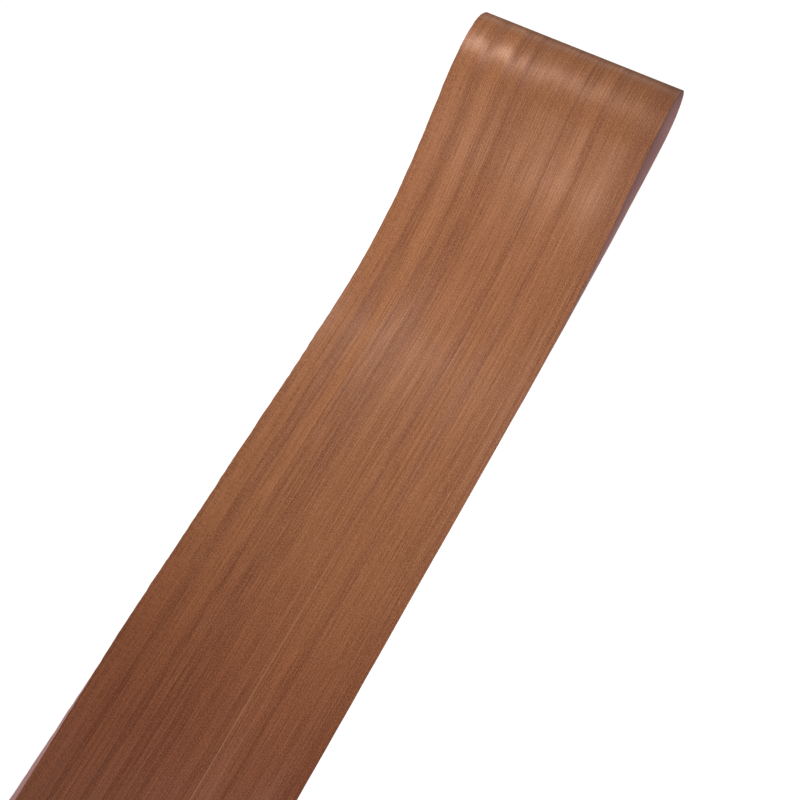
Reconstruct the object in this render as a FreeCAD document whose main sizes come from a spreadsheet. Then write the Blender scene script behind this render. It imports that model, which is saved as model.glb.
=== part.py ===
import FreeCAD, Part
import math
import os
import Sketcher

doc = FreeCAD.newDocument("veneer_sheet")
Vector = FreeCAD.Vector

# Sizes of the sheet and of the loop it is folded into, in millimetres and degrees.
# The radii are those of the wood face, which is the outer face all the way round.
# The upper layer lands a setback before the place where the lower layer lifts off the floor,
# and the dip's radius follows from that, so the two layers never run into each other.
sizes = doc.addObject("Spreadsheet::Sheet", "sizes")
driving = {
    "sheet_length": 2500,
    "sheet_width": 200,
    "wood_thickness": 0.3,
    "fleece_thickness": 0.2,
    "layer_gap": 0.3,
    "rise_radius": 1200,
    "rise_angle": 13,
    "bend_radius": 37,
    "crown_radius": 90,
    "ramp_length": 55,
    "landing_setback": 19,
    "taper_start": 545,
    "taper_run": 185,
    "taper_depth": 6,
}
derived = {
    "sheet_thickness": "=wood_thickness + fleece_thickness",
    "upper_face_height": "=2 * sheet_thickness + layer_gap",
    "crest_height": "=rise_radius * (1 - cos(rise_angle)) + bend_radius * (1 + cos(rise_angle))",
    "drop_height": "=crest_height - upper_face_height",
    "crest_reach": "=(rise_radius - bend_radius) * sin(rise_angle)",
    "slope_reach": "=crest_reach + landing_setback",
    "slope_square": "=slope_reach ^ 2 + drop_height ^ 2 - ramp_length ^ 2",
    "curve_sum": "=slope_square / (2 * drop_height)",
    "dip_radius": "=curve_sum - crown_radius",
    "lean_angle": "=atan2(ramp_length; curve_sum) / 1 deg",
    "ramp_angle": "=acos((curve_sum - drop_height) / hypot(curve_sum; ramp_length)) / 1 deg - lean_angle",
    "rise_run": "=rise_radius * rise_angle * pi / 180",
    "bend_run": "=bend_radius * (180 - rise_angle) * pi / 180",
    "slope_run": "=curve_sum * ramp_angle * pi / 180 + ramp_length",
    "flat_total": "=sheet_length - rise_run - bend_run - slope_run",
    "lower_length": "=(flat_total + landing_setback) / 2",
    "folded_length": "=lower_length + crest_reach + bend_radius",
    "lift_off_x": "=lower_length - folded_length / 2",
}
row = 0
for alias, content in list(driving.items()) + list(derived.items()):
    row += 1
    sizes.set("A%d" % row, alias)
    sizes.set("B%d" % row, str(content))
    sizes.setAlias("B%d" % row, alias)
doc.recompute()


def size(alias):
    """The present value of a size, as a plain number."""
    return float(sizes.get(alias))


def origin_plane(body, role):
    """One of the body's own origin planes."""
    return [plane for plane in body.Origin.OriginFeatures if plane.Role == role][0]


def name_size(sketch, constraint, name, formula):
    """Add a dimension, name it and bind it to the sheet of sizes."""
    index = sketch.addConstraint(constraint)
    sketch.renameConstraint(index, name)
    sketch.setExpression("Constraints." + name, formula)


def arc(centre, radius, start_angle, end_angle):
    """An arc drawn counter-clockwise between two angles in degrees."""
    circle = Part.Circle(centre, Vector(0, 0, 1), radius)
    return Part.ArcOfCircle(circle, math.radians(start_angle), math.radians(end_angle))


def folded_curve(sketch, depth):
    """Draw the fold at a depth below the wood face, each piece tangent to the next."""
    rise_angle = size("rise_angle")
    ramp_angle = size("ramp_angle")
    near_x = -size("folded_length") / 2
    upper_z = size("upper_face_height") - depth
    across = Vector(-math.sin(math.radians(ramp_angle)), math.cos(math.radians(ramp_angle)), 0)
    down_ramp = Vector(-across.y, across.x, 0)
    rise_centre = Vector(size("lift_off_x"), size("rise_radius"), 0)
    bend_centre = Vector(rise_centre.x + size("crest_reach"), size("crest_height") - size("bend_radius"), 0)
    crown_centre = Vector(bend_centre.x, size("crest_height") - size("crown_radius"), 0)
    ramp_top = crown_centre + across * (size("crown_radius") - depth)
    ramp_foot = ramp_top + down_ramp * size("ramp_length")
    dip_centre = ramp_foot + across * (size("dip_radius") + depth)

    lift_off = Vector(rise_centre.x, depth, 0)
    landing = Vector(dip_centre.x, upper_z, 0)
    lower = sketch.addGeometry(Part.LineSegment(Vector(near_x, depth, 0), lift_off))
    rise = sketch.addGeometry(arc(rise_centre, size("rise_radius") - depth, 270, 270 + rise_angle))
    bend = sketch.addGeometry(arc(bend_centre, size("bend_radius") - depth, 270 + rise_angle, 450))
    crown = sketch.addGeometry(arc(crown_centre, size("crown_radius") - depth, 90, 90 + ramp_angle))
    ramp = sketch.addGeometry(Part.LineSegment(ramp_top, ramp_foot))
    dip = sketch.addGeometry(arc(dip_centre, size("dip_radius") + depth, 270, 270 + ramp_angle))
    upper = sketch.addGeometry(Part.LineSegment(landing, Vector(near_x, upper_z, 0)))

    sketch.addConstraint(Sketcher.Constraint("Tangent", lower, 2, rise, 1))
    sketch.addConstraint(Sketcher.Constraint("Tangent", rise, 2, bend, 1))
    sketch.addConstraint(Sketcher.Constraint("Tangent", bend, 2, crown, 1))
    sketch.addConstraint(Sketcher.Constraint("Tangent", crown, 2, ramp, 1))
    sketch.addConstraint(Sketcher.Constraint("Tangent", ramp, 2, dip, 2))
    sketch.addConstraint(Sketcher.Constraint("Tangent", dip, 1, upper, 1))
    sketch.addConstraint(Sketcher.Constraint("Horizontal", lower))
    sketch.addConstraint(Sketcher.Constraint("Horizontal", upper))
    return lower, rise, bend, crown, ramp, dip, upper


def ply_section(body, outer_depth, inner_depth, outer_formula, thickness_formula):
    """The ply's section: the fold at its outer depth and at its inner one, closed at the ends."""
    sketch = body.newObject("Sketcher::SketchObject", body.Name + "_section")
    sketch.AttachmentSupport = (origin_plane(body, "XZ_Plane"), [""])
    sketch.MapMode = "FlatFace"
    lower, rise, bend, crown, ramp, dip, upper = folded_curve(sketch, outer_depth)
    inner = folded_curve(sketch, inner_depth)
    inner_lower, inner_rise, inner_bend, inner_crown, inner_ramp, inner_dip, inner_upper = inner

    near_x = -size("folded_length") / 2
    upper_z = size("upper_face_height")
    lower_end = sketch.addGeometry(
        Part.LineSegment(Vector(near_x, outer_depth, 0), Vector(near_x, inner_depth, 0))
    )
    upper_end = sketch.addGeometry(
        Part.LineSegment(Vector(near_x, upper_z - outer_depth, 0), Vector(near_x, upper_z - inner_depth, 0))
    )
    sketch.addConstraint(Sketcher.Constraint("Coincident", lower_end, 1, lower, 1))
    sketch.addConstraint(Sketcher.Constraint("Coincident", lower_end, 2, inner_lower, 1))
    sketch.addConstraint(Sketcher.Constraint("Coincident", upper_end, 1, upper, 2))
    sketch.addConstraint(Sketcher.Constraint("Coincident", upper_end, 2, inner_upper, 2))
    sketch.addConstraint(Sketcher.Constraint("Vertical", lower_end))
    sketch.addConstraint(Sketcher.Constraint("Vertical", upper_end))
    sketch.addConstraint(Sketcher.Constraint("Coincident", rise, 3, inner_rise, 3))
    sketch.addConstraint(Sketcher.Constraint("Coincident", bend, 3, inner_bend, 3))
    sketch.addConstraint(Sketcher.Constraint("Coincident", crown, 3, inner_crown, 3))
    sketch.addConstraint(Sketcher.Constraint("Coincident", dip, 3, inner_dip, 3))
    sketch.addConstraint(Sketcher.Constraint("Parallel", ramp, inner_ramp))
    sketch.addConstraint(Sketcher.Constraint("Vertical", bend, 3, bend, 2))
    sketch.addConstraint(Sketcher.Constraint("Vertical", lower, 1, upper, 2))

    height = size("upper_face_height") - outer_depth
    near_end = Sketcher.Constraint("DistanceX", lower, 1, -1, 1, -near_x)
    name_size(sketch, near_end, "near_end", "sizes.folded_length / 2")
    lift_off = Sketcher.Constraint("DistanceX", lower, 1, lower, 2, size("lower_length"))
    name_size(sketch, lift_off, "lift_off", "sizes.lower_length")
    lower_depth = Sketcher.Constraint("DistanceY", -1, 1, lower, 1, outer_depth)
    name_size(sketch, lower_depth, "lower_depth", outer_formula)
    thickness = Sketcher.Constraint("DistanceY", lower_end, 1, lower_end, 2, inner_depth - outer_depth)
    name_size(sketch, thickness, "thickness", thickness_formula)
    upper_height = Sketcher.Constraint("DistanceY", -1, 1, upper, 1, height)
    name_size(sketch, upper_height, "upper_height", "sizes.upper_face_height - " + outer_formula)
    rise_span = Sketcher.Constraint("Angle", rise, math.radians(size("rise_angle")))
    name_size(sketch, rise_span, "rise_angle", "sizes.rise_angle * 1 deg")
    ramp_run = Sketcher.Constraint("Distance", ramp, size("ramp_length"))
    name_size(sketch, ramp_run, "ramp_length", "sizes.ramp_length")
    rise_radius = Sketcher.Constraint("Radius", rise, size("rise_radius") - outer_depth)
    name_size(sketch, rise_radius, "rise_radius", "sizes.rise_radius - " + outer_formula)
    bend_radius = Sketcher.Constraint("Radius", bend, size("bend_radius") - outer_depth)
    name_size(sketch, bend_radius, "bend_radius", "sizes.bend_radius - " + outer_formula)
    crown_radius = Sketcher.Constraint("Radius", crown, size("crown_radius") - outer_depth)
    name_size(sketch, crown_radius, "crown_radius", "sizes.crown_radius - " + outer_formula)
    dip_radius = Sketcher.Constraint("Radius", dip, size("dip_radius") + outer_depth)
    name_size(sketch, dip_radius, "dip_radius", "sizes.dip_radius + " + outer_formula)
    return sketch


def build_ply(name, outer_depth, inner_depth, outer_formula, thickness_formula):
    """One ply of the sheet, padded across the width and tapered along the upper layer's edge."""
    body = doc.addObject("PartDesign::Body", name)
    body.Label = name
    section = ply_section(body, outer_depth, inner_depth, outer_formula, thickness_formula)
    doc.recompute()
    pad = body.newObject("PartDesign::Pad", name + "_width")
    pad.Profile = section
    pad.Midplane = True
    pad.setExpression("Length", "sizes.sheet_width")
    doc.recompute()
    full_volume = body.Shape.Volume

    # The cut starts between the two layers, so the lower layer keeps its straight edge.
    near_x = -size("folded_length") / 2
    edge_y = size("sheet_width") / 2
    start_x = near_x + size("taper_start")
    narrow_x = start_x - size("taper_run")
    narrow_y = edge_y - size("taper_depth")
    taper = body.newObject("Sketcher::SketchObject", name + "_taper_outline")
    taper.AttachmentSupport = (origin_plane(body, "XY_Plane"), [""])
    taper.MapMode = "FlatFace"
    taper.setExpression("AttachmentOffset.Base.z", "sizes.sheet_thickness + sizes.layer_gap / 2")
    corners = [
        Vector(near_x, edge_y, 0),
        Vector(near_x, narrow_y, 0),
        Vector(narrow_x, narrow_y, 0),
        Vector(start_x, edge_y, 0),
    ]
    for index in range(4):
        taper.addGeometry(Part.LineSegment(corners[index], corners[(index + 1) % 4]))
    for index in range(4):
        taper.addConstraint(Sketcher.Constraint("Coincident", index, 2, (index + 1) % 4, 1))
    taper.addConstraint(Sketcher.Constraint("Vertical", 0))
    taper.addConstraint(Sketcher.Constraint("Horizontal", 1))
    taper.addConstraint(Sketcher.Constraint("Horizontal", 3))
    near_end = Sketcher.Constraint("DistanceX", 0, 1, -1, 1, -near_x)
    name_size(taper, near_end, "near_end", "sizes.folded_length / 2")
    edge = Sketcher.Constraint("DistanceY", -1, 1, 0, 1, edge_y)
    name_size(taper, edge, "edge", "sizes.sheet_width / 2")
    start = Sketcher.Constraint("DistanceX", 0, 1, 3, 1, size("taper_start"))
    name_size(taper, start, "start", "sizes.taper_start")
    run = Sketcher.Constraint("DistanceX", 1, 2, 3, 1, size("taper_run"))
    name_size(taper, run, "run", "sizes.taper_run")
    depth = Sketcher.Constraint("DistanceY", 0, 2, 0, 1, size("taper_depth"))
    name_size(taper, depth, "depth", "sizes.taper_depth")
    doc.recompute()
    cut = body.newObject("PartDesign::Pocket", name + "_taper")
    cut.Profile = taper
    cut.Type = "ThroughAll"
    cut.Reversed = True
    doc.recompute()
    body.Tip = cut
    doc.recompute()
    if not body.Shape.Volume < full_volume:
        raise ValueError("the taper of " + name + " removes nothing")
    return body


wood = size("wood_thickness")
plies = [
    build_ply("veneer_leaf", 0, wood, "0", "sizes.wood_thickness"),
    build_ply("fleece_backing", wood, size("sheet_thickness"), "sizes.wood_thickness", "sizes.fleece_thickness"),
]
doc.recompute()

for item in doc.Objects:
    if "Invalid" in item.State or "Error" in item.State:
        raise ValueError(item.Name + " did not build: " + str(item.State))
    if hasattr(item, "Shape") and item.TypeId.startswith("PartDesign::"):
        if item.Shape.isNull() or not item.Shape.isValid():
            raise ValueError(item.Name + " has no valid shape")

os.makedirs("parts", exist_ok=True)
for ply in plies:
    ply.Shape.exportStep("parts/" + ply.Label + ".step")
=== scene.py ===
import math

import bmesh
import bpy
from mathutils import Matrix, Vector


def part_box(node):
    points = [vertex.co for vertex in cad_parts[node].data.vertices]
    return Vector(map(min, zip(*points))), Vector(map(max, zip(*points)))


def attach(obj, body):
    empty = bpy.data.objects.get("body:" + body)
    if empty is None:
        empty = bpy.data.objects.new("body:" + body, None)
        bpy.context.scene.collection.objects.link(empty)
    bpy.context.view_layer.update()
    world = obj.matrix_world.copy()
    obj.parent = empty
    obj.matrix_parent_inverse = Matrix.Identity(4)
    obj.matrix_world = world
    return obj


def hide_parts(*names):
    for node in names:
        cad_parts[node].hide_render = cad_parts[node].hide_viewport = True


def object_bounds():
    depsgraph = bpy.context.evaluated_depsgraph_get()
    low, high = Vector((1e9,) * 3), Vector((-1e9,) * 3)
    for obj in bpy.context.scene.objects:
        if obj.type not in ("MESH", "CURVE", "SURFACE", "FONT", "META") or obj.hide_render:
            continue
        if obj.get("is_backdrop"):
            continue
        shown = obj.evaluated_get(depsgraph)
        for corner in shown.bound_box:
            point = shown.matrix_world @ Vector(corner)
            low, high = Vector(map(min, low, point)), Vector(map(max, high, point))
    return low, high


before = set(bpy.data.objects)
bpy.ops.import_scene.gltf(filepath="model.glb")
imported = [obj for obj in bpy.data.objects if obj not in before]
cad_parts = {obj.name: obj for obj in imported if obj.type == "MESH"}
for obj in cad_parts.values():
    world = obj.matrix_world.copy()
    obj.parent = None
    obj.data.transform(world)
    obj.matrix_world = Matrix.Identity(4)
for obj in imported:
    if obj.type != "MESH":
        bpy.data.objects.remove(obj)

for spare in ("Cube", "Light", "Camera"):
    if spare in bpy.data.objects:
        bpy.data.objects.remove(bpy.data.objects[spare])
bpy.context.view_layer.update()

# The sheet's sizes are in metres. The fold follows the CAD's wood face: flat, rise, bend, crown,
# ramp, dip and flat.
LEAF_LOW, LEAF_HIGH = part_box("veneer_leaf")
WIDTH = LEAF_HIGH.y - LEAF_LOW.y
NEAR_X = LEAF_LOW.x
WOOD_THICKNESS = 0.0003
FLEECE_THICKNESS = 0.0002
LAYER_GAP = 0.0003
RISE_RADIUS = 1.2
RISE_ANGLE = math.radians(13)
BEND_RADIUS = 0.037
CROWN_RADIUS = 0.09
RAMP_LENGTH = 0.055
LANDING_SETBACK = 0.019
TAPER_START = 0.545
TAPER_RUN = 0.185
TAPER_DEPTH = 0.006

UPPER_FACE = 2 * (WOOD_THICKNESS + FLEECE_THICKNESS) + LAYER_GAP
CREST_HEIGHT = RISE_RADIUS * (1 - math.cos(RISE_ANGLE)) + BEND_RADIUS * (1 + math.cos(RISE_ANGLE))
CREST_REACH = (RISE_RADIUS - BEND_RADIUS) * math.sin(RISE_ANGLE)
LIFT_OFF_X = LEAF_HIGH.x - BEND_RADIUS - CREST_REACH
SLOPE_DROP = CREST_HEIGHT - UPPER_FACE
SLOPE_REACH = CREST_REACH + LANDING_SETBACK
CURVE_SUM = (SLOPE_REACH**2 + SLOPE_DROP**2 - RAMP_LENGTH**2) / (2 * SLOPE_DROP)
DIP_RADIUS = CURVE_SUM - CROWN_RADIUS
RAMP_ANGLE = math.acos((CURVE_SUM - SLOPE_DROP) / math.hypot(CURVE_SUM, RAMP_LENGTH)) - math.atan2(
    RAMP_LENGTH, CURVE_SUM
)
LANDING_X = LIFT_OFF_X - LANDING_SETBACK
CREST_X = LIFT_OFF_X + CREST_REACH

# The mesh's divisions: across the sheet, and along each stretch of the fold.
COLUMNS = 40
LOWER_ROWS = 150
RISE_ROWS = 40
BEND_ROWS = 56
CROWN_ROWS = 20
RAMP_ROWS = 14
DIP_ROWS = 50
UPPER_ROWS = 240


def only(piece):
    """Make one object the selected and active one."""
    bpy.ops.object.select_all(action="DESELECT")
    piece.select_set(True)
    bpy.context.view_layer.objects.active = piece


def mark_run(piece, run):
    """Write the run along the unfolded sheet on the row of points that is selected."""
    mesh = bmesh.from_edit_mesh(piece.data)
    layer = mesh.verts.layers.float.get("run") or mesh.verts.layers.float.new("run")
    for vertex in mesh.verts:
        if vertex.select:
            vertex[layer] = run


def lay_straight(piece, run, travel, rows):
    """Extrude the open row straight on: over the floor, down the ramp or over the lower layer."""
    for row in range(rows):
        bpy.ops.mesh.extrude_region_move(TRANSFORM_OT_translate={"value": travel / rows})
        run += travel.length / rows
        mark_run(piece, run)
    return run


def curl(piece, run, centre, radius, angle, rows):
    """Spin the open row round an axis across the sheet."""
    for row in range(rows):
        bpy.ops.mesh.spin(steps=1, angle=angle / rows, center=centre, axis=(0, 1, 0))
        run += radius * abs(angle) / rows
        mark_run(piece, run)
    return run


# An edge across the sheet's near end is the start, and the whole fold grows out of it.
bpy.ops.object.select_all(action="DESELECT")
bpy.ops.mesh.primitive_plane_add(size=WIDTH, location=(NEAR_X - WIDTH / 2, 0, 0))
leaf = bpy.context.active_object
leaf.name = leaf.data.name = "veneer_face"
bpy.ops.object.transform_apply(location=True, rotation=True, scale=True)
bpy.ops.object.mode_set(mode="EDIT")
bpy.ops.mesh.select_mode(type="VERT")
bpy.ops.mesh.select_all(action="DESELECT")
mesh = bmesh.from_edit_mesh(leaf.data)
for vertex in mesh.verts:
    vertex.select = vertex.co.x < NEAR_X - WIDTH / 2
mesh.select_flush(True)
bmesh.update_edit_mesh(leaf.data)
bpy.ops.mesh.delete(type="VERT")
bpy.ops.mesh.select_mode(type="EDGE")
bpy.ops.mesh.select_all(action="SELECT")
bpy.ops.mesh.subdivide(number_cuts=COLUMNS - 1)
mark_run(leaf, 0.0)

over_floor = Vector((LIFT_OFF_X - NEAR_X, 0, 0))
down_ramp = Vector((-math.cos(RAMP_ANGLE), 0, -math.sin(RAMP_ANGLE))) * RAMP_LENGTH
over_lower_layer = Vector((NEAR_X - LANDING_X, 0, 0))
rise_centre = Vector((LIFT_OFF_X, 0, RISE_RADIUS))
bend_centre = Vector((CREST_X, 0, CREST_HEIGHT - BEND_RADIUS))
crown_centre = Vector((CREST_X, 0, CREST_HEIGHT - CROWN_RADIUS))
dip_centre = Vector((LANDING_X, 0, UPPER_FACE + DIP_RADIUS))

run = lay_straight(leaf, 0.0, over_floor, LOWER_ROWS)
run = curl(leaf, run, rise_centre, RISE_RADIUS, RISE_ANGLE, RISE_ROWS)
run = curl(leaf, run, bend_centre, BEND_RADIUS, math.pi - RISE_ANGLE, BEND_ROWS)
run = curl(leaf, run, crown_centre, CROWN_RADIUS, RAMP_ANGLE, CROWN_ROWS)
run = lay_straight(leaf, run, down_ramp, RAMP_ROWS)
run = curl(leaf, run, dip_centre, DIP_RADIUS, -RAMP_ANGLE, DIP_ROWS)
run = lay_straight(leaf, run, over_lower_layer, UPPER_ROWS)
bpy.ops.mesh.select_all(action="SELECT")
bpy.ops.mesh.flip_normals()
bpy.ops.object.mode_set(mode="OBJECT")


def slice_edge(piece, point, outward, low_x, high_x):
    """Trim the upper layer between two places along it with a straight cut."""
    bpy.ops.object.mode_set(mode="EDIT")
    bpy.ops.mesh.select_mode(type="FACE")
    bpy.ops.mesh.select_all(action="DESELECT")
    mesh = bmesh.from_edit_mesh(piece.data)
    for face in mesh.faces:
        middle = face.calc_center_median()
        face.select = middle.z > UPPER_FACE / 2 and low_x < middle.x < high_x
    bmesh.update_edit_mesh(piece.data)
    bpy.ops.mesh.bisect(plane_co=point, plane_no=outward, clear_outer=True)
    bpy.ops.object.mode_set(mode="OBJECT")


taper_start_x = NEAR_X + TAPER_START
narrow_x = taper_start_x - TAPER_RUN
narrow_y = WIDTH / 2 - TAPER_DEPTH
slice_edge(leaf, (NEAR_X, narrow_y, 0), (0, 1, 0), NEAR_X, narrow_x)
slice_edge(
    leaf, (taper_start_x, WIDTH / 2, 0), (-TAPER_DEPTH, TAPER_RUN, 0), narrow_x, taper_start_x
)

# The edges wander by a few tenths of a millimetre, more on the torn left edge than on the cut
# right one. A point of the rim is on one of the two where it lies past this share of the width.
EDGE_SHARE = 0.45
mesh = bmesh.new()
mesh.from_mesh(leaf.data)
rims = [v for v in mesh.verts if v.is_boundary and abs(v.co.y) > WIDTH * EDGE_SHARE]
torn_points = [vertex.index for vertex in rims if vertex.co.y > 0]
cut_points = [vertex.index for vertex in rims if vertex.co.y < 0]
mesh.free()
only(leaf)
for name, points, pitch, travel in (
    ("torn_edge", torn_points, 0.006, 0.0009),
    ("torn_edge_drift", torn_points, 0.045, 0.0014),
    ("cut_edge_drift", cut_points, 0.060, 0.0006),
):
    leaf.vertex_groups.new(name=name).add(points, 1.0, "REPLACE")
    wander = bpy.data.textures.new(name, "CLOUDS")
    wander.noise_scale = pitch
    push = leaf.modifiers.new(name, "DISPLACE")
    push.texture = wander
    push.texture_coords = "LOCAL"
    push.direction = "Y"
    push.strength = travel
    push.vertex_group = name
    bpy.ops.object.modifier_apply(modifier=name)
leaf.vertex_groups.clear()

# The map is the unfolded sheet in metres: u along it, v across it.
sheet_map = leaf.data.uv_layers.new(name="unfolded")
run_of = leaf.data.attributes["run"].data
for corner in leaf.data.loops:
    point = leaf.data.vertices[corner.vertex_index].co
    sheet_map.data[corner.index].uv = (run_of[corner.vertex_index].value, point.y)

# The fleece is the same fold, one wood thickness further in.
CREASE_DEGREES = 40
only(leaf)
bpy.ops.object.duplicate()
fleece = bpy.context.active_object
fleece.name = fleece.data.name = "fleece_layer"
inset = fleece.modifiers.new("inset", "DISPLACE")
inset.direction = "NORMAL"
inset.mid_level = 0.0
inset.strength = -WOOD_THICKNESS
bpy.ops.object.modifier_apply(modifier="inset")
for piece, thickness in ((leaf, WOOD_THICKNESS), (fleece, FLEECE_THICKNESS)):
    only(piece)
    ply = piece.modifiers.new("ply", "SOLIDIFY")
    ply.thickness = thickness
    ply.offset = -1
    bpy.ops.object.modifier_apply(modifier="ply")
    bpy.ops.object.shade_smooth_by_angle(angle=math.radians(CREASE_DEGREES))
    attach(piece, "root")
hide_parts("veneer_leaf")
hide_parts("fleece_backing")


def linear(hex_colour, alpha=1.0):
    """A linear colour from its sRGB hex."""
    steps = [int(hex_colour[place : place + 2], 16) / 255 for place in (1, 3, 5)]
    return [c / 12.92 if c <= 0.04045 else ((c + 0.055) / 1.055) ** 2.4 for c in steps] + [alpha]


def add(material, kind, links, **settings):
    """Add a node with its settings. Links gives each input a value or another node's output."""
    made = material.node_tree.nodes.new(kind)
    for name, value in settings.items():
        setattr(made, name, value)
    for socket, value in links.items():
        if isinstance(value, bpy.types.NodeSocket):
            material.node_tree.links.new(value, made.inputs[socket])
        else:
            made.inputs[socket].default_value = value
    return made


def new_material(name):
    material = bpy.data.materials.new(name)
    material.use_nodes = True
    material.node_tree.nodes.clear()
    return material


# Quarter-cut sapele veneer, sliced, sanded and left with a satin face. Its interlocked grain gives
# the eye soft light and dark ribbons along the sheet, a fine fibre and short open pores.
sapele = new_material("Sapele_veneer_quarter_cut")
unfolded = add(sapele, "ShaderNodeUVMap", {}, uv_map="unfolded").outputs[0]
sheet_place = add(sapele, "ShaderNodeSeparateXYZ", {"Vector": unfolded})
along_sheet, across = sheet_place.outputs[0], sheet_place.outputs[1]

# Each figure's marks have a length along the sheet and a width across it, in metres, then a shift
# that sets one figure apart from the next, and how many finer waves they carry. Real fibres are
# about 0.1 mm wide. They are drawn 0.7 mm wide here, so that they show.
FIGURES = (
    ("wander", 0.60, 0.060, 3.1, 1.0),
    ("stripe", 0.90, 0.0046, 7.7, 2.0),
    ("line", 0.45, 0.0011, 1.9, 1.0),
    ("fibre", 0.045, 0.0007, 1.3, 2.0),
    ("dot", 0.0013, 0.00075, 5.9, 1.0),
    ("pore", 0.0060, 0.0006, 9.2, 1.0),
    ("ripple", 0.0026, 0.0060, 2.6, 2.0),
    ("lustre", 0.085, 0.0075, 4.4, 2.0),
    ("lean", 0.22, 0.0240, 8.3, 1.0),
)
figure = {}
for name, length, width, shift, detail in FIGURES:
    stretched = add(
        sapele,
        "ShaderNodeMapping",
        {"Vector": unfolded, "Location": (shift, shift, 0), "Scale": (1 / length, 1 / width, 1)},
    )
    figure[name] = add(
        sapele,
        "ShaderNodeTexNoise",
        {"Vector": stretched.outputs[0], "Scale": 1.0, "Detail": detail},
        noise_dimensions="2D",
    ).outputs[0]

# The ribbons, in millimetres from the torn edge, each so much lighter or darker than the wood.
RIBBONS = (
    (3, -0.01),
    (13, 0.04),
    (20, 0.02),
    (26, -0.06),
    (31, 0.00),
    (38, 0.06),
    (44, 0.08),
    (50, 0.00),
    (54, -0.06),
    (60, 0.01),
    (65, 0.00),
    (70, -0.07),
    (75, -0.03),
    (84, -0.02),
    (92, 0.02),
    (104, 0.00),
    (114, 0.02),
    (122, -0.02),
    (130, 0.01),
    (140, 0.05),
    (146, 0.00),
    (150, -0.05),
    (155, 0.02),
    (166, 0.02),
    (178, 0.01),
    (188, -0.03),
    (197, -0.04),
)
RIBBON_RANGE = 0.10
DRIFT = 0.012
drift = add(
    sapele,
    "ShaderNodeMapRange",
    {"Value": figure["wander"], "To Min": -DRIFT / 2, "To Max": DRIFT / 2},
)
drifted = add(sapele, "ShaderNodeMath", {0: across, 1: drift.outputs[0]}, operation="ADD")
from_torn_edge = add(
    sapele,
    "ShaderNodeMapRange",
    {"Value": drifted.outputs[0], "From Min": WIDTH / 2, "From Max": -WIDTH / 2},
)
ribbons = add(sapele, "ShaderNodeValToRGB", {0: from_torn_edge.outputs[0]})
ribbons.color_ramp.interpolation = "EASE"
stops = ribbons.color_ramp.elements
for number, (place, shade) in enumerate(RIBBONS):
    spot = place / 1000 / WIDTH
    stop = stops[number] if number < 2 else stops.new(spot)
    stop.position = spot
    stop.color = [0.5 + shade / RIBBON_RANGE / 2] * 3 + [1.0]
colour = add(
    sapele,
    "ShaderNodeMix",
    {0: ribbons.outputs[0], 6: linear("#723F2C"), 7: linear("#B2774F")},
    data_type="RGBA",
).outputs[2]

# They fade toward the near end. Such places are in metres along the unfolded sheet.
FADE_FROM, FADE_TO = 1.45, 1.90
fading = add(
    sapele,
    "ShaderNodeMapRange",
    {"Value": along_sheet, "From Min": FADE_FROM, "From Max": FADE_TO, "To Max": 0.30},
    interpolation_type="SMOOTHSTEP",
)
colour = add(
    sapele,
    "ShaderNodeMix",
    {0: fading.outputs[0], 6: colour, 7: linear("#905333")},
    data_type="RGBA",
).outputs[2]

# Each row mixes a shade in by a figure's height: none of it at the first height, and the share that
# comes third at the second height.
SHADES = (
    ("stripe", 0.48, 0.30, 0.16, "#7A432D"),
    ("stripe", 0.54, 0.70, 0.13, "#B0744E"),
    ("line", 0.47, 0.30, 0.56, "#743E29"),
    ("line", 0.54, 0.70, 0.47, "#B87D57"),
    ("fibre", 0.50, 0.32, 0.42, "#66371F"),
    ("fibre", 0.52, 0.70, 0.36, "#BE825A"),
    ("dot", 0.50, 0.30, 0.60, "#6A3A22"),
    ("dot", 0.52, 0.72, 0.49, "#C0865E"),
    ("pore", 0.60, 0.76, 0.22, "#D29A70"),
)
for name, low, high, most, shade in SHADES:
    amount = add(
        sapele,
        "ShaderNodeMapRange",
        {"Value": figure[name], "From Min": low, "From Max": high, "To Max": most},
        interpolation_type="SMOOTHSTEP",
    )
    colour = add(
        sapele,
        "ShaderNodeMix",
        {0: amount.outputs[0], 6: colour, 7: linear(shade)},
        data_type="RGBA",
    ).outputs[2]

# The outer 25 mm by the torn edge has curly figure: close waves that run across the grain.
CURLY_FROM, CURLY_TO = 0.074, 0.086
curly = add(
    sapele,
    "ShaderNodeMapRange",
    {
        "Value": across,
        "From Min": CURLY_FROM,
        "From Max": CURLY_TO,
        "To Min": 0.05,
        "To Max": 0.32,
    },
    interpolation_type="SMOOTHSTEP",
)
wave = add(
    sapele,
    "ShaderNodeMapRange",
    {"Value": figure["ripple"], "From Min": 0.42, "From Max": 0.60, "To Max": curly.outputs[0]},
    interpolation_type="SMOOTHSTEP",
)
colour = add(
    sapele,
    "ShaderNodeMix",
    {0: wave.outputs[0], 6: colour, 7: linear("#B2754F")},
    data_type="RGBA",
).outputs[2]

# Painted shade: the wood is made darker and redder toward the near end, standing in for the light
# falling off there.
NEAR_SHADE_FROM, NEAR_SHADE_TO = 1.76, 2.02
near_shade = add(
    sapele,
    "ShaderNodeMapRange",
    {"Value": along_sheet, "From Min": NEAR_SHADE_FROM, "From Max": NEAR_SHADE_TO},
    interpolation_type="SMOOTHSTEP",
)
colour = add(
    sapele,
    "ShaderNodeMix",
    {0: near_shade.outputs[0], 6: colour, 7: linear("#DFC1B2")},
    data_type="RGBA",
    blend_type="MULTIPLY",
).outputs[2]

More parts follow.
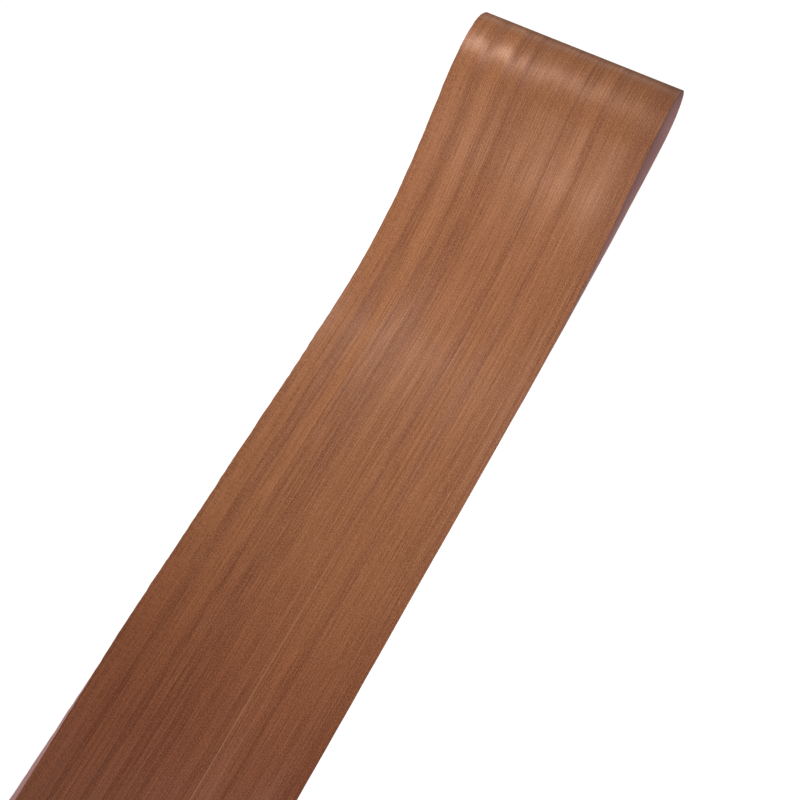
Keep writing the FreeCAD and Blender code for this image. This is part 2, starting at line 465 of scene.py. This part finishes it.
# One fine straight line runs the whole length, a little askew, where two slices of the leaf meet.
# It is dark by the loop and light toward the near end.
JOINT_PLACE = -0.01235
JOINT_SKEW = 0.007
JOINT_WIDTH = 0.0007
JOINT_DEPTH = 0.7
TURN_FROM, TURN_TO = 1.60, 1.90
from_joint = add(
    sapele,
    "ShaderNodeMath",
    {0: along_sheet, 1: JOINT_SKEW, 2: across},
    operation="MULTIPLY_ADD",
)
from_joint = add(
    sapele, "ShaderNodeMath", {0: from_joint.outputs[0], 1: JOINT_PLACE}, operation="SUBTRACT"
)
from_joint = add(sapele, "ShaderNodeMath", {0: from_joint.outputs[0]}, operation="ABSOLUTE")
joint_turn = add(
    sapele,
    "ShaderNodeMapRange",
    {"Value": along_sheet, "From Min": TURN_FROM, "From Max": TURN_TO},
    interpolation_type="SMOOTHSTEP",
)
joint_colour = add(
    sapele,
    "ShaderNodeMix",
    {0: joint_turn.outputs[0], 6: linear("#643823"), 7: linear("#B58464")},
    data_type="RGBA",
).outputs[2]
joint = add(
    sapele,
    "ShaderNodeMapRange",
    {
        "Value": from_joint.outputs[0],
        "From Max": JOINT_WIDTH,
        "To Min": JOINT_DEPTH,
        "To Max": 0.0,
    },
    interpolation_type="SMOOTHSTEP",
)
colour = add(
    sapele,
    "ShaderNodeMix",
    {0: joint.outputs[0], 6: colour, 7: joint_colour},
    data_type="RGBA",
).outputs[2]

# Interlocked grain leans in and out of the face by a few degrees, so each ribbon turns the light
# its own way. The lean is a slope: a part goes with the ribbon and a part wanders.
RIBBON_LEAN = 0.16
LOWEST_LEAN = -0.13
HIGHEST_LEAN = -0.03
along = add(sapele, "ShaderNodeTangent", {}, direction_type="UV_MAP", uv_map="unfolded").outputs[0]
lean = add(
    sapele,
    "ShaderNodeMapRange",
    {"Value": figure["lean"], "To Min": LOWEST_LEAN, "To Max": HIGHEST_LEAN},
)
lean = add(
    sapele,
    "ShaderNodeMath",
    {0: ribbons.outputs[0], 1: RIBBON_LEAN, 2: lean.outputs[0]},
    operation="MULTIPLY_ADD",
)
leaning = add(
    sapele, "ShaderNodeVectorMath", {0: along, "Scale": lean.outputs[0]}, operation="SCALE"
)
upright = add(sapele, "ShaderNodeNewGeometry", {})
turned = add(
    sapele,
    "ShaderNodeVectorMath",
    {0: upright.outputs["Normal"], 1: leaning.outputs[0]},
    operation="ADD",
)
turned = add(sapele, "ShaderNodeVectorMath", {0: turned.outputs[0]}, operation="NORMALIZE")

# The relief of the face, in metres high: slow swells, the fibre, the ripple and the dots.
RELIEF = (
    ("lustre", 0.00010),
    ("fibre", 0.00003),
    ("ripple", 0.00003),
    ("dot", 0.00002),
)
relief = 0.0
for name, height in RELIEF:
    relief = add(
        sapele,
        "ShaderNodeMath",
        {0: figure[name], 1: height, 2: relief},
        operation="MULTIPLY_ADD",
    ).outputs[0]
bump = add(
    sapele,
    "ShaderNodeBump",
    {"Height": relief, "Strength": 1.0, "Distance": 1.0, "Normal": turned.outputs[0]},
)
# The light ribbons are glossier than the dark ones.
satin = add(
    sapele,
    "ShaderNodeMapRange",
    {"Value": ribbons.outputs[0], "From Min": 0.2, "From Max": 0.9, "To Min": 0.47, "To Max": 0.32},
)
# The fibres run along the sheet, so the gloss spreads across it: a quarter turn from the tangent.
# It takes some of the wood's own colour, as light that comes back out of the fibres does.
face = add(
    sapele,
    "ShaderNodeBsdfPrincipled",
    {
        "Base Color": colour,
        "Roughness": satin.outputs[0],
        "IOR": 1.4,
        "Specular IOR Level": 1.0,
        "Specular Tint": linear("#FFD3BE"),
        "Anisotropic": 0.6,
        "Anisotropic Rotation": 0.25,
        "Normal": bump.outputs[0],
        "Tangent": along,
    },
)
add(sapele, "ShaderNodeOutputMaterial", {"Surface": face.outputs[0]})

# Non-woven fleece, pressed flat and glued on. It gives the eye a matt, pinkish-grey, felted face.
# Its fibres tangle about once a millimetre and its clouds are about 17 mm wide.
TANGLES_PER_METRE = 900.0
CLOUDS_PER_METRE = 60.0
felt = new_material("Non_woven_fleece")
felt_place = add(felt, "ShaderNodeUVMap", {}, uv_map="unfolded").outputs[0]
tangle = add(
    felt,
    "ShaderNodeTexNoise",
    {
        "Vector": felt_place,
        "Scale": TANGLES_PER_METRE,
        "Detail": 3.0,
        "Roughness": 0.65,
        "Distortion": 1.5,
    },
).outputs[0]
cloudy = add(
    felt, "ShaderNodeTexNoise", {"Vector": felt_place, "Scale": CLOUDS_PER_METRE, "Detail": 2.0}
).outputs[0]
felt_colour = add(
    felt,
    "ShaderNodeMix",
    {0: cloudy, 6: linear("#BE8884"), 7: linear("#C7938E")},
    data_type="RGBA",
).outputs[2]
felt_colour = add(
    felt,
    "ShaderNodeMix",
    {0: tangle, 6: felt_colour, 7: linear("#D1A6A3")},
    data_type="RGBA",
).outputs[2]
felt_bump = add(felt, "ShaderNodeBump", {"Height": tangle, "Strength": 0.4, "Distance": 0.0002})
felt_face = add(
    felt,
    "ShaderNodeBsdfPrincipled",
    {
        "Base Color": felt_colour,
        "Roughness": 0.9,
        "IOR": 1.45,
        "Sheen Weight": 0.15,
        "Normal": felt_bump.outputs[0],
    },
)
add(felt, "ShaderNodeOutputMaterial", {"Surface": felt_face.outputs[0]})

for piece, material in ((leaf, sapele), (fleece, felt)):
    piece.data.materials.clear()
    piece.data.materials.append(material)

# The stage: a pale floor, soft light and the camera. The floor's paper is grey and glows for the
# camera alone, so that it shows white and still takes a faint shadow.
FLOOR_SIZE = 12
FLOOR_DROP = 0.0004
FLOOR_GLOW = 0.91
SKY_FILL = 0.33
bpy.ops.object.select_all(action="DESELECT")
bpy.ops.mesh.primitive_plane_add(size=FLOOR_SIZE, location=(0, 0, -FLOOR_DROP))
floor = bpy.context.active_object
floor.name = "floor"
pale = new_material("Pale_floor")
floor_light = add(pale, "ShaderNodeLightPath", {})
floor_paint = add(pale, "ShaderNodeBsdfDiffuse", {"Color": linear("#8F8F8F")})
floor_glow = add(pale, "ShaderNodeEmission", {"Strength": FLOOR_GLOW})
lit_floor = add(pale, "ShaderNodeAddShader", {0: floor_paint.outputs[0], 1: floor_glow.outputs[0]})
floor_mix = add(
    pale,
    "ShaderNodeMixShader",
    {0: floor_light.outputs["Is Camera Ray"], 1: floor_paint.outputs[0], 2: lit_floor.outputs[0]},
)
add(pale, "ShaderNodeOutputMaterial", {"Surface": floor_mix.outputs[0]})
floor.data.materials.append(pale)
floor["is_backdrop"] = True

world = bpy.data.worlds.new("soft_daylight")
bpy.context.scene.world = world
world.use_nodes = True
world.node_tree.nodes.clear()
sky_path = add(world, "ShaderNodeLightPath", {})
dim_sky = add(world, "ShaderNodeBackground", {"Color": (1, 1, 1, 1), "Strength": SKY_FILL})
# The camera sees a white backdrop all round. Reflections see it white near the floor and falling
# to a dark studio ceiling overhead.
sky_way = add(world, "ShaderNodeTexCoord", {})
sky_height = add(world, "ShaderNodeSeparateXYZ", {"Vector": sky_way.outputs["Generated"]})
ceiling = add(
    world,
    "ShaderNodeMapRange",
    {
        "Value": sky_height.outputs[2],
        "From Min": 0.10,
        "From Max": 0.45,
        "To Min": 1.0,
        "To Max": 0.08,
    },
    interpolation_type="SMOOTHSTEP",
)
backdrop = add(
    world,
    "ShaderNodeMath",
    {0: ceiling.outputs[0], 1: sky_path.outputs["Is Camera Ray"]},
    operation="MAXIMUM",
)
white_sky = add(
    world, "ShaderNodeBackground", {"Color": (1, 1, 1, 1), "Strength": backdrop.outputs[0]}
)
seen = add(
    world,
    "ShaderNodeMath",
    {0: sky_path.outputs["Is Camera Ray"], 1: sky_path.outputs["Is Glossy Ray"]},
    operation="MAXIMUM",
)
seen = add(
    world,
    "ShaderNodeMath",
    {0: seen.outputs[0], 1: sky_path.outputs["Is Transmission Ray"]},
    operation="MAXIMUM",
)
sky_mix = add(
    world,
    "ShaderNodeMixShader",
    {0: seen.outputs[0], 1: dim_sky.outputs[0], 2: white_sky.outputs[0]},
)
add(world, "ShaderNodeOutputWorld", {"Surface": sky_mix.outputs[0]})


def softbox(name, place, target, size, spread, watts):
    """A square soft light with a grid over it, which faces a point of the sheet."""
    bpy.ops.object.light_add(type="AREA", location=place)
    light = bpy.context.active_object
    light.name = name
    light.data.shape = "SQUARE"
    light.data.size = size
    light.data.spread = math.radians(spread)
    light.data.energy = watts
    light.rotation_euler = (Vector(target) - Vector(place)).to_track_quat("-Z", "Y").to_euler()


# The key stands over the near half and faces the loop, so the loop's far side falls away dark. The
# crown light stands past the loop and makes the band of gloss along its crown. The near light hangs
# straight over the near end.
softbox("key_softbox", (-0.37, -0.14, 0.82), (0.34, -0.02, 0.03), 0.35, 72, 1.26)
softbox("crown_softbox", (0.74, 0.43, 0.85), (0.50, 0.07, 0.08), 0.24, 50, 0.28)
softbox("near_softbox", (-0.56, 0.0, 0.75), (-0.56, 0.0, 0.0), 0.35, 60, 0.20)

# The camera stands over the sheet's near half and looks down along it to the loop. Its lens is the
# photo's, as pixels of focal length in a square picture.
SENSOR_WIDTH = 36
FOCAL_PIXELS = 998.1
PICTURE_PIXELS = 800
YAW, PITCH, ROLL = 37.9, 67.73, 8.63
CAMERA_PLACE = (LIFT_OFF_X - 0.3362, -0.21264, 0.83635)
camera_data = bpy.data.cameras.new("camera")
camera = bpy.data.objects.new("camera", camera_data)
bpy.context.collection.objects.link(camera)
camera_data.sensor_width = SENSOR_WIDTH
camera_data.lens = FOCAL_PIXELS / PICTURE_PIXELS * SENSOR_WIDTH
camera_data.clip_start = 0.01
yaw, pitch, roll = (math.radians(angle) for angle in (YAW, PITCH, ROLL))
forward = Vector(
    (math.cos(yaw) * math.cos(pitch), math.sin(yaw) * math.cos(pitch), -math.sin(pitch))
)
level_right = Vector((math.sin(yaw), -math.cos(yaw), 0))
level_down = forward.cross(level_right)
right = level_right * math.cos(roll) + level_down * math.sin(roll)
down = level_down * math.cos(roll) - level_right * math.sin(roll)
turn = Matrix((right, -down, -forward)).transposed().to_4x4()
camera.matrix_world = Matrix.Translation(CAMERA_PLACE) @ turn
bpy.context.scene.camera = camera
bpy.context.scene.view_settings.view_transform = "Standard"

low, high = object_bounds()
